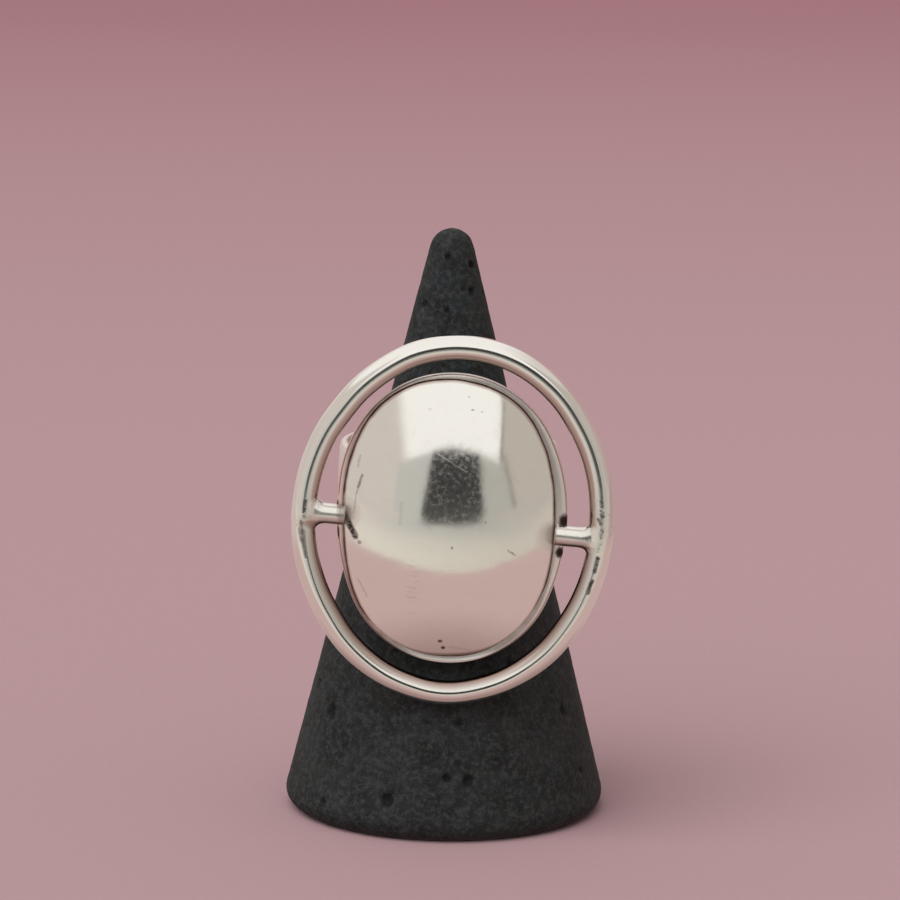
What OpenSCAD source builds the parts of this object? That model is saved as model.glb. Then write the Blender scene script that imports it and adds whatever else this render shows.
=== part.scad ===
// Openwork silver ring on a plain stone ring cone, in millimetres.
// The cone stands on the origin. The ring's head faces -Y, with a narrow open gap
// between its dome and the round wire oval that frames it.

/* [Cone stand] */
// Diameter of the cone at its foot
foot_d = 30; // [28:0.1:30.2]
// Height of the cone
cone_h = 55; // [50:0.5:55.5]
// Radius of the rounded tip
tip_r = 2.1; // [1:0.1:2.5]
// Radius of the rounded edge round the foot
foot_edge_r = 1.6; // [0.5:0.1:3]

/* [Band] */
// Diameter inside the band
finger_d = 18.6; // [18.4:0.1:19.2]
// Thickness of the band
band_t = 1.05; // [0.8:0.05:1.2]
// Width of the band, along the finger
band_w = 9.8; // [6:0.1:10]
// Radius of the band's worn edges
band_edge_r = 0.3; // [0.1:0.05:0.4]
// Height of the middle of the band and the head above the floor
band_z = 30; // [29.9:0.1:32]

/* [Head] */
// How far the middle of the dome sits above the middle of the band
head_rise = 0.14; // [0:0.02:0.3]
// Thickness of the oval back plate
plate_t = 0.8; // [0.6:0.05:0.95]
// Width of the plate's lip beside the dome
lip_w = 0.7; // [0.4:0.05:1]
// Width of the plate's lip at the two ends of the dome
lip_end = 0.48; // [0.3:0.02:1]
// How far the plate sits off the dome's middle, sideways
plate_shift = 0.18; // [0:0.02:0.3]
// How far the plate sits below the dome's middle
plate_drop = 0.14; // [0:0.02:0.2]
// Distance from the finger's axis to the front of the plate
plate_out = 13.1; // [13.05:0.05:13.8]
// Width of the saddle between band and plate
saddle_d = 9; // [6:0.1:9.2]
// Width of the dome
dome_w = 19.3; // [18.8:0.1:20]
// Length of the dome
dome_l = 25.8; // [24.5:0.1:26.5]
// Radius of the dome's two end curves
dome_end_r = 9.15; // [8.4:0.05:9.5]
// Height of the dome above the plate
dome_h = 2.8; // [2.2:0.1:3.4]
// Thickness of the dome's sheet metal
dome_t = 0.8; // [0.6:0.1:1.2]

/* [Oval wire frame] */
// Thickness of the round wire
wire_d = 2.26; // [1.8:0.02:2.4]
// Width of the oval, between wire middles
frame_w = 26.66; // [25.6:0.02:28]
// Length of the oval, between wire middles
frame_l = 31.7; // [31:0.1:33]
// Radius of the oval's two end curves
frame_end_r = 12.2; // [11.6:0.05:12.6]
// How far the oval is turned clockwise in its own plane
frame_turn = 3.1; // [0:0.1:5]
// How far the oval sits off the dome's middle, sideways
frame_shift = 0.4; // [0:0.05:0.6]
// How far the oval sits below the dome's middle
frame_drop = 0.2; // [0:0.02:0.3]

/* [Rods] */
// Thickness of the two rods that carry the oval
rod_d = 1.87; // [1.5:0.01:2]
// Slope of the line through both rods
rod_turn = 4.7; // [0:0.1:6]
// How far the rods sit below the dome's middle
rod_drop = 0.58; // [0:0.02:1]

/* [Hidden] */
$fn = 144;

stone_colour = [0.2, 0.2, 0.2];
silver_colour = [0.83, 0.81, 0.78];

// How far the dome and the saddle run into the plate that they are soldered to
bite = 0.25;
// How far the air under the dome runs into the plate, so that no film is left
skim = 0.02;
// How far the rods' middle lies in front of the plate, and how far the rods
// run in over the dome's foot
rod_lead = 0.15;
rod_tuck = 0.1;
// How far the oval's wire lies in front of the rods
wire_lead = 0.1;
// Sideways place of the dome's middle
dome_x = 0.1;

finger_r = finger_d / 2;
wire_r = wire_d / 2;
rod_r = rod_d / 2;
rod_out = plate_out + rod_lead;
frame_out = rod_out + wire_lead;

// A four-arc oval has two end curves and two flatter side curves that meet
// without a corner. Its numbers follow from half width a, half length b and
// the radius r of its ends.
function end_middle(b, r) = b - r;
function side_middle(a, b, r) =
    (pow(end_middle(b, r), 2) - pow(a - r, 2)) / (2 * (a - r));
function side_radius(a, b, r) = a + side_middle(a, b, r);
function side_angle(a, b, r) = atan2(end_middle(b, r), side_middle(a, b, r));

// Columns of an oval's arc table
ARC_X = 0;
ARC_Y = 1;
ARC_R = 2;
ARC_FROM = 3;
ARC_SPAN = 4;
ARC_STEPS = 5;
function oval_arcs(a, b, r) =
    let (
        e = end_middle(b, r),
        s = side_middle(a, b, r),
        big = side_radius(a, b, r),
        w = side_angle(a, b, r)
    )
    [
        [-s, 0, big, -w, 2 * w, 8],
        [0, e, r, w, 180 - 2 * w, 16],
        [s, 0, big, 180 - w, 2 * w, 8],
        [0, -e, r, 180 + w, 180 - 2 * w, 16],
    ];

// Points round an oval, counter-clockwise
function oval_points(a, b, r) = [
    for (arc = oval_arcs(a, b, r))
        for (i = [0 : arc[ARC_STEPS] - 1])
            let (t = arc[ARC_FROM] + arc[ARC_SPAN] * i / arc[ARC_STEPS])
                [arc[ARC_X] + arc[ARC_R] * cos(t), arc[ARC_Y] + arc[ARC_R] * sin(t)]
];

// Height of a dome at the fraction s of the way from its top to its foot:
// the arc of a circle across its half width a
function cap_radius(a, h) = (a * a + h * h) / (2 * h);
function cap_height(s, a, h) =
    sqrt(pow(cap_radius(a, h), 2) - pow(s * a, 2)) - (cap_radius(a, h) - h);

// An oval dome standing on z = 0, with a short wall below it
module oval_dome(a, b, r, h, wall) {
    rings = 9;
    rim = oval_points(a, b, r);
    n = len(rim);
    levels = [for (k = [0 : rings - 1]) sin(90 * (k + 1) / rings)];
    points = concat(
        [[0, 0, h]],
        [for (s = levels) for (p = rim) [s * p[0], s * p[1], cap_height(s, a, h)]],
        [for (p = rim) [p[0], p[1], -wall]]
    );
    // Ring k holds points 1 + k * n to 1 + k * n + n - 1
    top = [for (i = [0 : n - 1]) [0, 1 + (i + 1) % n, 1 + i]];
    flank = [
        for (k = [0 : rings - 1])
            for (i = [0 : n - 1])
                let (
                    p = 1 + k * n + i,
                    q = 1 + k * n + (i + 1) % n
                )
                each [[p, q, q + n], [p, q + n, p + n]]
    ];
    bottom = [[for (i = [0 : n - 1]) 1 + rings * n + i]];
    polyhedron(points = points, faces = concat(top, flank, bottom));
}

// A flat oval with true arcs
module oval_flat(a, b, r) {
    e = end_middle(b, r);
    s = side_middle(a, b, r);
    big = side_radius(a, b, r);
    meet_y = big * sin(side_angle(a, b, r));
    for (y = [-e, e])
        translate([0, y])
            circle(r = r);
    intersection() {
        translate([-s, 0])
            circle(r = big);
        translate([s, 0])
            circle(r = big);
        square([4 * a, 2 * meet_y], center = true);
    }
}

// A round wire bent to an oval: a stretch of torus for each arc. The two flatter
// stretches are a hair thinner and run a little way into the two ends.
module oval_wire(a, b, r, wire) {
    hair = 0.01;
    run_in = 1;
    for (arc = oval_arcs(a, b, r)) {
        flatter = arc[ARC_R] > r;
        over = flatter ? run_in : 0;
        translate([arc[ARC_X], arc[ARC_Y], 0])
            rotate([0, 0, arc[ARC_FROM] - over])
                rotate_extrude(angle = arc[ARC_SPAN] + 2 * over)
                    translate([arc[ARC_R], 0])
                        circle(r = flatter ? wire - hair : wire, $fn = 48);
    }
}

// Moves what is drawn flat, facing up, onto the ring's head, facing -Y, at the
// distance out from the finger's axis and the drop below the dome's middle
module on_head(x, out, drop = 0) {
    translate([x, -out, band_z + head_rise - drop])
        rotate([90, 0, 0])
            children();
}

// A plain round cone with a rounded tip and foot, turned from one outline
module cone_stand() {
    tip_z = cone_h - tip_r;
    edge_x = foot_d / 2 - foot_edge_r;
    // The side touches both rounded corners, so they share its slope
    run = edge_x;
    rise = tip_z - foot_edge_r;
    slope = atan2(run, rise) + asin((foot_edge_r - tip_r) / norm([run, rise]));
    side = [cos(slope), sin(slope)];
    foot_touch = [edge_x, foot_edge_r] + foot_edge_r * side;
    tip_touch = [0, tip_z] + tip_r * side;
    color(stone_colour)
        rotate_extrude()
            intersection() {
                union() {
                    polygon([
                        [0, 0],
                        [edge_x, 0],
                        [edge_x, foot_edge_r],
                        foot_touch,
                        tip_touch,
                        [0, tip_z],
                    ]);
                    translate([edge_x, foot_edge_r])
                        circle(r = foot_edge_r, $fn = 48);
                    translate([0, tip_z])
                        circle(r = tip_r, $fn = 48);
                }
                square([foot_d, cone_h]);
            }
}

// Plain finger band with worn edges
module band() {
    translate([0, 0, band_z])
        rotate_extrude()
            translate([finger_r + band_t / 2, 0]) {
                square([band_t, band_w - 2 * band_edge_r], center = true);
                square([band_t - 2 * band_edge_r, band_w], center = true);
                for (x = [-1, 1])
                    for (y = [-1, 1])
                        translate([
                            x * (band_t / 2 - band_edge_r),
                            y * (band_w / 2 - band_edge_r),
                        ])
                            circle(r = band_edge_r, $fn = 32);
            }
}

// Round block that fills between the curved band and the flat plate
module saddle() {
    difference() {
        on_head(0, 0)
            cylinder(d = saddle_d, h = plate_out - plate_t + bite);
        cylinder(r = finger_r + band_t / 2, h = 2 * band_z);
    }
}

module plate() {
    on_head(dome_x + plate_shift, plate_out - plate_t, plate_drop)
        linear_extrude(plate_t)
            oval_flat(dome_w / 2 + lip_w, dome_l / 2 + lip_end, dome_end_r + lip_end);
}

module dome() {
    on_head(dome_x, plate_out)
        oval_dome(dome_w / 2, dome_l / 2, dome_end_r, dome_h, bite);
}

// The air under the dome's sheet metal
module dome_hollow() {
    on_head(dome_x, plate_out)
        oval_dome(
            dome_w / 2 - dome_t,
            dome_l / 2 - dome_t,
            dome_end_r - dome_t,
            dome_h - dome_t,
            skim
        );
}

module frame() {
    on_head(dome_x + frame_shift, frame_out, frame_drop)
        rotate([0, 0, -frame_turn])
            oval_wire(frame_w / 2, frame_l / 2, frame_end_r, wire_r);
}

// Two rods on one sloping line, from the dome's foot to the middle of the wire
module rods() {
    on_head(dome_x, rod_out, rod_drop)
        rotate([0, 0, -rod_turn])
            for (side = [-1, 1]) {
                start = dome_w / 2 - rod_tuck;
                stop = frame_w / 2 + side * frame_shift;
                translate([side * start, 0, 0])
                    rotate([0, side * 90, 0])
                        cylinder(r = rod_r, h = stop - start, $fn = 48);
            }
}

// All the silver is soldered into one piece
module ring() {
    color(silver_colour)
        difference() {
            union() {
                band();
                saddle();
                plate();
                dome();
                frame();
                rods();
            }
            dome_hollow();
        }
}

cone_stand();
ring();
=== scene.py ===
# %% [markdown]
# # An openwork silver ring on its stone cone
# The head of this finger ring is a polished oval dome that stands inside an open oval of round wire.
# Two short rods carry the wire. A plain cone of dark, porous stone holds the ring up.
# The measured model is loaded first, as a frame that nothing here moves or resizes. Every piece is
# then modelled finely in the place that this frame gives it.

# %% Load the frame
import math
import random
from contextlib import contextmanager

import bmesh
import bpy
import numpy as np
from mathutils import Matrix, Vector, noise


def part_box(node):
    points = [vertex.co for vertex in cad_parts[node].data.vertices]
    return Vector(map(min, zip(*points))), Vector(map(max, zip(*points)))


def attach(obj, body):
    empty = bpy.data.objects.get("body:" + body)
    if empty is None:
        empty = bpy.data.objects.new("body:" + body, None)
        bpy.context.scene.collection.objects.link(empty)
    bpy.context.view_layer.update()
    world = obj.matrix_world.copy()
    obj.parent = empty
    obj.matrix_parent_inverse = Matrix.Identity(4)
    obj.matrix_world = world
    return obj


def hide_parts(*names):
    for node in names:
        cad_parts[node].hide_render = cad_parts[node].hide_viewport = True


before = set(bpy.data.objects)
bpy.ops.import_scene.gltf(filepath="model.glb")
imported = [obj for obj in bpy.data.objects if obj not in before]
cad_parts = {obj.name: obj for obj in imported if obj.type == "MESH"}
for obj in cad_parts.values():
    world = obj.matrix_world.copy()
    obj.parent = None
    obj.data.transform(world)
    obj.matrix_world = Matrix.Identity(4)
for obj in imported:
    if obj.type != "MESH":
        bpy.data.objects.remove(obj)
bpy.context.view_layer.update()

MM = 0.001

# %% [markdown]
# ## Small helpers
# Blender's operators act on whatever is selected, in the mode that is open. So each step selects one
# object, enters edit mode, picks what the next operator is meant for, and leaves edit mode again.

# %% Select, name and edit
SAME_SPOT = 0.001 * MM


def deselect():
    bpy.ops.object.select_all(action="DESELECT")


def only(obj):
    """Select this object alone and make it the active one."""
    deselect()
    obj.select_set(True)
    bpy.context.view_layer.objects.active = obj


def named(name):
    """Name the object that was added last, and what it is made of."""
    obj = bpy.context.object
    obj.name = obj.data.name = name
    return obj


@contextmanager
def editing(obj):
    """Edit mode on one object for as long as the with block lasts."""
    only(obj)
    bpy.ops.object.mode_set(mode="EDIT")
    yield
    bpy.ops.object.mode_set(mode="OBJECT")


def pick(kind, test):
    """In edit mode, select only the verts, edges or faces whose middle passes the test."""
    bpy.ops.mesh.select_mode(type={"verts": "VERT", "edges": "EDGE", "faces": "FACE"}[kind])
    bpy.ops.mesh.select_all(action="DESELECT")
    mesh = bmesh.from_edit_mesh(bpy.context.object.data)
    for item in getattr(mesh, kind):
        corners = [item] if kind == "verts" else item.verts
        middle = sum((corner.co for corner in corners), Vector()) / len(corners)
        if test(middle):
            item.select_set(True)
    bmesh.update_edit_mesh(bpy.context.object.data)


def pick_all():
    bpy.ops.mesh.select_all(action="SELECT")


def push(x=0, y=0, z=0):
    """Extrude what is selected and move the new part."""
    bpy.ops.mesh.extrude_region_move(TRANSFORM_OT_translate={"value": (x, y, z)})


def scale(x, y):
    """Resize what is selected along X and Y, about the origin."""
    bpy.ops.transform.resize(value=(x, y, 1), center_override=(0, 0, 0))


def spin(steps, degrees, centre, axis=(0, 0, 1)):
    """Sweep what is selected round an axis. Positive degrees turn counter-clockwise."""
    bpy.ops.mesh.spin(steps=steps, angle=-math.radians(degrees), center=centre, axis=axis)


def close_up():
    """Merge what lies on one spot, then turn every face outwards."""
    pick_all()
    bpy.ops.mesh.remove_doubles(threshold=SAME_SPOT)
    bpy.ops.mesh.normals_make_consistent(inside=False)


# %% [markdown]
# What edit mode shapes roughly, modifiers finish. Some shapes follow a formula, and for those the
# points of a mesh are read as one array, moved all at once and written back.

# %% Modifiers and points
def modify(obj, kind, **settings):
    """Add a modifier, set it and apply it."""
    only(obj)
    modifier = obj.modifiers.new(kind.lower(), kind)
    for name, value in settings.items():
        setattr(modifier, name, value)
    bpy.ops.object.modifier_apply(modifier=modifier.name)


def cloud_dents(obj, name, grain, detail, middle, depth):
    """Move the skin in and out by a cloud pattern. A tone equal to middle stays where it is."""
    clouds = bpy.data.textures.new(name, "CLOUDS")
    clouds.noise_scale = grain
    clouds.noise_depth = detail
    modify(obj, "DISPLACE", texture=clouds, texture_coords="LOCAL", mid_level=middle, strength=depth)


def single_point(name, x=0, y=0, z=0):
    """A mesh of one vertex, to draw an outline from by extruding and spinning."""
    deselect()
    bpy.ops.mesh.primitive_plane_add(size=MM)
    obj = named(name)
    with editing(obj):
        bpy.ops.mesh.select_mode(type="VERT")
        pick_all()
        bpy.ops.mesh.merge(type="CENTER")
        bpy.ops.transform.translate(value=(x, y, z))
    return obj


def places(obj):
    """The mesh's points as an array of rows x, y, z."""
    flat = np.empty(len(obj.data.vertices) * 3)
    obj.data.vertices.foreach_get("co", flat)
    return flat.reshape(-1, 3)


def set_places(obj, points):
    obj.data.vertices.foreach_set("co", points.ravel())
    obj.data.update()


def note(obj, name, values):
    """Keep one number for each point of the mesh, for a material to read."""
    layer = obj.data.attributes.new(name, "FLOAT", "POINT")
    layer.data.foreach_set("value", np.asarray(values, np.float32))


def report(obj):
    low, high = places(obj).min(0) / MM, places(obj).max(0) / MM
    triangles = sum(len(face.vertices) - 2 for face in obj.data.polygons)
    print(obj.name, triangles, "triangles, from", low.round(2), "to", high.round(2), "mm")


def smooth(obj):
    only(obj)
    bpy.ops.object.shade_smooth()
    report(obj)


# %% [markdown]
# ## Measures
# The frame's boxes give the main sizes: how high the oval sits, how far the dome stands out, how big
# the cone is. HEAD_Z is the height of the dome's middle, and each piece of the head sits a little
# beside it, as on the real ring. A piece's own measures are given where it is made.

# %% Measures
stone_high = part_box("cone_stand")[1]
ring_low, ring_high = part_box("ring")
OVAL_DROP, BAND_DROP = 0.2 * MM, 0.14 * MM
OVAL_Z = (ring_low.z + ring_high.z) / 2
HEAD_Z = OVAL_Z + OVAL_DROP
BAND_Z = HEAD_Z - BAND_DROP
DOME_X = 0.1 * MM
DOME_A, DOME_B = 9.65 * MM, 12.88 * MM
DOME_RISE = 2.8 * MM
PLATE_FRONT = -ring_low.y - DOME_RISE
print("head centre", round(HEAD_Z / MM, 2), "mm up, plate", round(PLATE_FRONT / MM, 2), "mm out")

# %% [markdown]
# ## The stone cone
# The real stand is turned from one lump of dark, lava-like stone. Its side is straight, its tip and
# foot are rounded, and small gas pores are open all over it. An outline that is spun round the
# upright axis gives the body.

# %% Outline of the cone
FOOT_R = stone_high.x
CONE_H = stone_high.z
FOOT_EDGE = 1.6 * MM
TIP_R = 2.1 * MM
FOOT_STEPS, TIP_STEPS, ROUND_STEPS = 8, 12, 220
FOOT_CUTS, SIDE_CUTS = 30, 170
flat_r = FOOT_R - FOOT_EDGE
rise = CONE_H - TIP_R - FOOT_EDGE
corners_turn = math.asin((FOOT_EDGE - TIP_R) / math.hypot(flat_r, rise))
side_slope = math.degrees(math.atan2(flat_r, rise) + corners_turn)
slope_cos, slope_sin = math.cos(math.radians(side_slope)), math.sin(math.radians(side_slope))
side_from = Vector((flat_r + FOOT_EDGE * slope_cos, 0, FOOT_EDGE + FOOT_EDGE * slope_sin))
side_to = Vector((TIP_R * slope_cos, 0, CONE_H - TIP_R + TIP_R * slope_sin))

cone = single_point("stone_cone")
with editing(cone):
    push(x=flat_r)
    spin(FOOT_STEPS, -(90 + side_slope), (flat_r, 0, FOOT_EDGE), (0, 1, 0))
    push(*(side_to - side_from))
    spin(TIP_STEPS, -(90 - side_slope), (0, 0, CONE_H - TIP_R), (0, 1, 0))
    pick("edges", lambda p: abs(p.x - flat_r / 2) < MM and p.z < MM)
    bpy.ops.mesh.subdivide(number_cuts=FOOT_CUTS)
    pick("edges", lambda p: (p - (side_from + side_to) / 2).length < MM)
    bpy.ops.mesh.subdivide(number_cuts=SIDE_CUTS)
    pick_all()
    spin(ROUND_STEPS, 360, (0, 0, 0))
    close_up()
print("slope of the side", round(side_slope, 2), "degrees")
report(cone)

# %% [markdown]
# The pores are real hollows: the mesh is divided finely round the wide ones, then pushed inwards with
# a painted weight. Those that the eye finds at once are listed one by one, by their turn round the
# cone and their height. Hundreds more follow from a seeded draw, most of them small, as in real lava.

# %% Pores
# turn from the front in degrees, height in mm, radius in mm
OPEN_PORES = [
    (-9, 52.6, 0.30), (51, 51.8, 0.42), (39, 49.4, 0.40), (-49, 48.2, 0.34), (-6, 47.7, 0.26),
    (-56, 10.6, 0.62), (-21, 3.8, 0.60), (1, 6.0, 0.45), (9, 5.8, 0.50), (6, 10.9, 0.34),
    (60, 10.8, 0.42), (-74, 12.3, 0.34), (-50, 2.5, 0.36), (150, 12.0, 0.55), (205, 7.5, 0.6),
    (118, 20.5, 0.5), (242, 16.0, 0.45), (176, 41.0, 0.4), (95, 5.0, 0.55), (268, 30.5, 0.4),
]
SMALL_PORES = 420
FINEST, WIDEST, DEEPEST = 0.11 * MM, 0.34 * MM, 0.42 * MM
# a pore this wide gets its full depth, and one wider than this gets a finer mesh
FULL_DEPTH_R, FINE_MESH_R = 0.45 * MM, 0.2 * MM
draw = random.Random(11)


def cone_radius(z):
    """Radius of the straight side at this height."""
    share = (z - side_from.z) / (side_to.z - side_from.z)
    return side_from.x + (side_to.x - side_from.x) * min(max(share, 0), 1)


pores = []
for turn, height, radius in OPEN_PORES:
    around = math.radians(turn)
    r = cone_radius(height * MM)
    pores.append((r * math.sin(around), -r * math.cos(around), height * MM, radius * MM, 1.0))
while len(pores) < len(OPEN_PORES) + SMALL_PORES:
    height = draw.uniform(1.0, 53.5) * MM
    r = cone_radius(height)
    if draw.random() > r / FOOT_R:
        continue
    around = draw.uniform(0, 2 * math.pi)
    radius = FINEST * (1 + draw.expovariate(1.6))
    depth = draw.uniform(0.5, 0.9)
    pores.append((r * math.sin(around), -r * math.cos(around), height, min(radius, WIDEST), depth))
pores = np.array(pores)


def pore_depth(points):
    """For each point, the depth of the pore that it lies in, from 0 outside to 1 at the bottom."""
    depth = np.zeros(len(points))
    for x, y, z, radius, share in pores:
        deep = share * min(1, radius / FULL_DEPTH_R)
        near = abs(points[:, [0, 2]] - (x, z)).max(1) < 1.6 * radius
        for i in np.nonzero(near)[0]:
            away = Vector(points[i]) - Vector((x, y, z))
            uneven = 1 + 0.35 * noise.noise(Vector(points[i]) * 1.7 / MM)
            inside = 1 - (away.length * uneven / radius) ** 2
            if inside > 0:
                depth[i] = max(depth[i], deep * inside ** 0.6)
    return depth


points = places(cone)
near_pore = np.zeros(len(points), bool)
for x, y, z, radius, _ in pores[pores[:, 3] > FINE_MESH_R]:
    near_pore |= ((points - (x, y, z)) ** 2).sum(1) < (1.25 * radius + 0.15 * MM) ** 2
with editing(cone):
    bpy.ops.mesh.select_mode(type="VERT")
    bpy.ops.mesh.select_all(action="DESELECT")
    mesh = bmesh.from_edit_mesh(cone.data)
    mesh.verts.ensure_lookup_table()
    for i in np.nonzero(near_pore)[0]:
        mesh.verts[i].select_set(True)
    mesh.select_flush(True)
    bmesh.update_edit_mesh(cone.data)
    bpy.ops.mesh.subdivide(number_cuts=2)
    pick_all()
    bpy.ops.mesh.dissolve_degenerate(threshold=SAME_SPOT)
    bpy.ops.mesh.quads_convert_to_tris()
depth = pore_depth(places(cone))
press = cone.vertex_groups.new(name="press")
for i in np.nonzero(depth)[0]:
    press.add([int(i)], float(depth[i]), "REPLACE")
modify(cone, "DISPLACE", vertex_group="press", mid_level=0.0, strength=-DEEPEST)
note(cone, "pore", depth)
print(len(pores), "pores")
report(cone)

# %% [markdown]
# Turned stone is never quite even. A cloud pattern with a grain of about a millimetre lowers the skin
# here and there by some hundredths of a millimetre, which breaks up the straight outline a little.

# %% Uneven skin
cloud_dents(cone, "stone_clouds", grain=0.9 * MM, detail=3, middle=1.0, depth=0.09 * MM)
smooth(cone)

# %% [markdown]
# ## The band
# The finger band is a plain strip, bent round and soldered shut, then worn smooth at its edges. An
# open tube gets a wall with Solidify, a crown that is worn towards both edges, soft edges with Bevel
# and faint dents from a cloud pattern.

# %% Band
BAND_OUTER_R = ring_high.y
BAND_WALL, BAND_WIDTH = 1.05 * MM, 9.8 * MM
BAND_EDGE, BAND_WEAR = 0.3 * MM, 0.2 * MM
BAND_STEPS = 180
deselect()
bpy.ops.mesh.primitive_cylinder_add(
    vertices=BAND_STEPS,
    radius=BAND_OUTER_R,
    depth=BAND_WIDTH,
    end_fill_type="NOTHING",
    location=(0, 0, BAND_Z),
)
band = named("finger_band")
bpy.ops.object.transform_apply()
with editing(band):
    pick("edges", lambda p: abs(p.z - BAND_Z) < 0.1 * MM)
    bpy.ops.mesh.subdivide(number_cuts=11)
modify(band, "SOLIDIFY", thickness=BAND_WALL, offset=-1.0)
points = places(band)
outside = np.hypot(points[:, 0], points[:, 1]) > BAND_OUTER_R - BAND_WALL / 2
worn = BAND_WEAR / BAND_OUTER_R * abs((points[:, 2] - BAND_Z) / (BAND_WIDTH / 2)) ** 4
points[:, :2] *= 1 - (worn * outside)[:, None]
set_places(band, points)
modify(band, "BEVEL", width=BAND_EDGE, segments=4, limit_method="ANGLE")
cloud_dents(band, "band_dents", grain=4 * MM, detail=2, middle=0.8, depth=0.05 * MM)
smooth(band)

# %% [markdown]
# ## Laying out the head
# The head's pieces are drawn lying flat and are then stood up to face the front. Their outline is a
# four-arc oval: two tight arcs at the ends and two wide ones along the sides, which meet without a
# corner. The middles and angles of the arcs follow from half width, half length and end radius.

# %% Ovals and the place of the head
def oval_arcs(a, b, end_r):
    """Where the arcs of an oval have their middles, and how many degrees the side arcs span."""
    end_y = b - end_r
    side_x = (end_y ** 2 - (a - end_r) ** 2) / (2 * (a - end_r))
    half_span = math.degrees(math.atan2(end_y, side_x))
    return end_y, side_x, half_span


def sweep_oval(a, b, end_r, spacing):
    """Sweep what is selected at (a, 0) all the way round an oval."""
    end_y, side_x, half = oval_arcs(a, b, end_r)
    side_steps = round(math.radians(half) * (a + side_x) / spacing)
    end_steps = round(math.radians(180 - 2 * half) * end_r / spacing)
    spin(side_steps, half, (-side_x, 0, 0))
    spin(end_steps, 180 - 2 * half, (0, end_y, 0))
    spin(2 * side_steps, 2 * half, (side_x, 0, 0))
    spin(end_steps, 180 - 2 * half, (0, -end_y, 0))
    spin(side_steps, half, (-side_x, 0, 0))


def stand_up(obj, x, z, out, turn=0):
    """Turn a piece that lies flat so that it faces the front, and put it at its place on the head."""
    only(obj)
    obj.matrix_world = (
        Matrix.Translation((x, -out, z))
        @ Matrix.Rotation(math.pi / 2, 4, "X")
        @ Matrix.Rotation(math.radians(turn), 4, "Z")
    )
    bpy.ops.object.transform_apply()
    smooth(obj)


def hand_made(around, nudges, width=9):
    """Outward nudges in mm, given at some degrees round an oval, as a smooth curve over all angles."""
    total, weight = np.zeros(len(around)), np.zeros(len(around))
    for degrees, amount in nudges:
        turn = (around - math.radians(degrees) + math.pi) % (2 * math.pi) - math.pi
        near = np.exp(-(turn / math.radians(width)) ** 2)
        total += near * amount * MM
        weight += near
    return total / weight


OVAL_A, OVAL_B, OVAL_END_R = 13.33 * MM, 15.85 * MM, 12.2 * MM
print("the wire's side arcs span", round(2 * oval_arcs(OVAL_A, OVAL_B, OVAL_END_R)[2]), "degrees")

# %% [markdown]
# ## The back plate
# A flat oval of sheet silver closes the dome from behind. Only its edge shows, as a narrow lip that
# falls away a little and ends in a bevel. At the bottom alone it is bent forward, so that it catches
# the light as a bright line.

# %% Back plate
PLATE_THICK, PLATE_END_R = 0.8 * MM, 9.63 * MM
PLATE_SHIFT, PLATE_DROP = 0.18 * MM, 0.08 * MM
LIP_SIDE, LIP_END, LIP_INSET = 0.7 * MM, 0.54 * MM, 0.62 * MM
LIP_FALL, LIP_LIFT = 0.14 * MM, 0.34 * MM
LIP_ROUND, BACK_ROUND = 0.28 * MM, 0.2 * MM
HAIR = 0.01 * MM
plate = single_point("back_plate", x=DOME_A + LIP_SIDE)
with editing(plate):
    sweep_oval(DOME_A + LIP_SIDE, DOME_B + LIP_END, PLATE_END_R, spacing=0.3 * MM)
    close_up()
    bpy.ops.mesh.edge_face_add()
    push(z=-PLATE_THICK)
    pick("faces", lambda p: p.z > -HAIR)
    bpy.ops.transform.translate(value=(0, 0, -LIP_FALL))
    bpy.ops.mesh.inset(thickness=LIP_INSET)
    bpy.ops.transform.translate(value=(0, 0, LIP_FALL))
    pick("edges", lambda p: abs(p.z + LIP_FALL) < HAIR)
    bpy.ops.mesh.bevel(offset=LIP_ROUND, segments=6, affect="EDGES")
    pick("edges", lambda p: p.z < -PLATE_THICK + HAIR)
    bpy.ops.mesh.bevel(offset=BACK_ROUND, segments=4, affect="EDGES")
    close_up()

# degrees counter-clockwise from the right, outward nudge of the plate's edge in mm
PLATE_NUDGES = [
    (0, 0.22), (15, 0.3), (30, 0.28), (45, 0.12), (60, 0), (90, 0), (130, 0), (145, 0.25), (155, 0.25),
    (170, 0.05), (190, 0), (225, 0), (270, 0), (315, 0), (340, 0.1),
]
points = places(plate)
around = np.arctan2(points[:, 1], points[:, 0])
away = hand_made(around, PLATE_NUDGES, 12) * (np.hypot(points[:, 0], points[:, 1]) > 0.5 * DOME_A)
points[:, 0] += away * np.cos(around)
points[:, 1] += away * np.sin(around)
out_share = np.hypot(points[:, 0] / DOME_A, points[:, 1] / DOME_B)
beyond_dome = np.clip((out_share - 1) * DOME_B / LIP_END, 0, 1)
at_bottom = np.clip(-points[:, 1] / DOME_B, 0, 1) ** 3
points[:, 2] += LIP_LIFT * beyond_dome * at_bottom
set_places(plate, points)
stand_up(plate, DOME_X + PLATE_SHIFT, HEAD_Z - PLATE_DROP, PLATE_FRONT)

# %% [markdown]
# ## The dome
# The dome is raised from sheet, so its curve is even from foot to top. It is modelled as it is
# raised: a ring at the foot, then ring after ring that is smaller and higher, on the arc of a circle.
# The outline is rounder at the top and fills out towards the foot, where it meets the plate.

# %% Dome
DOME_RINGS, DOME_STEPS = 52, 208
DOME_FOOT = 0.2 * MM
FULLNESS = 2.42
arc_r = (DOME_A ** 2 + DOME_RISE ** 2) / (2 * DOME_RISE)


def dome_height(share):
    """Height of the dome at this share of the way from its top to its foot."""
    return math.sqrt(arc_r ** 2 - (share * DOME_A) ** 2) - (arc_r - DOME_RISE)


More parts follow.
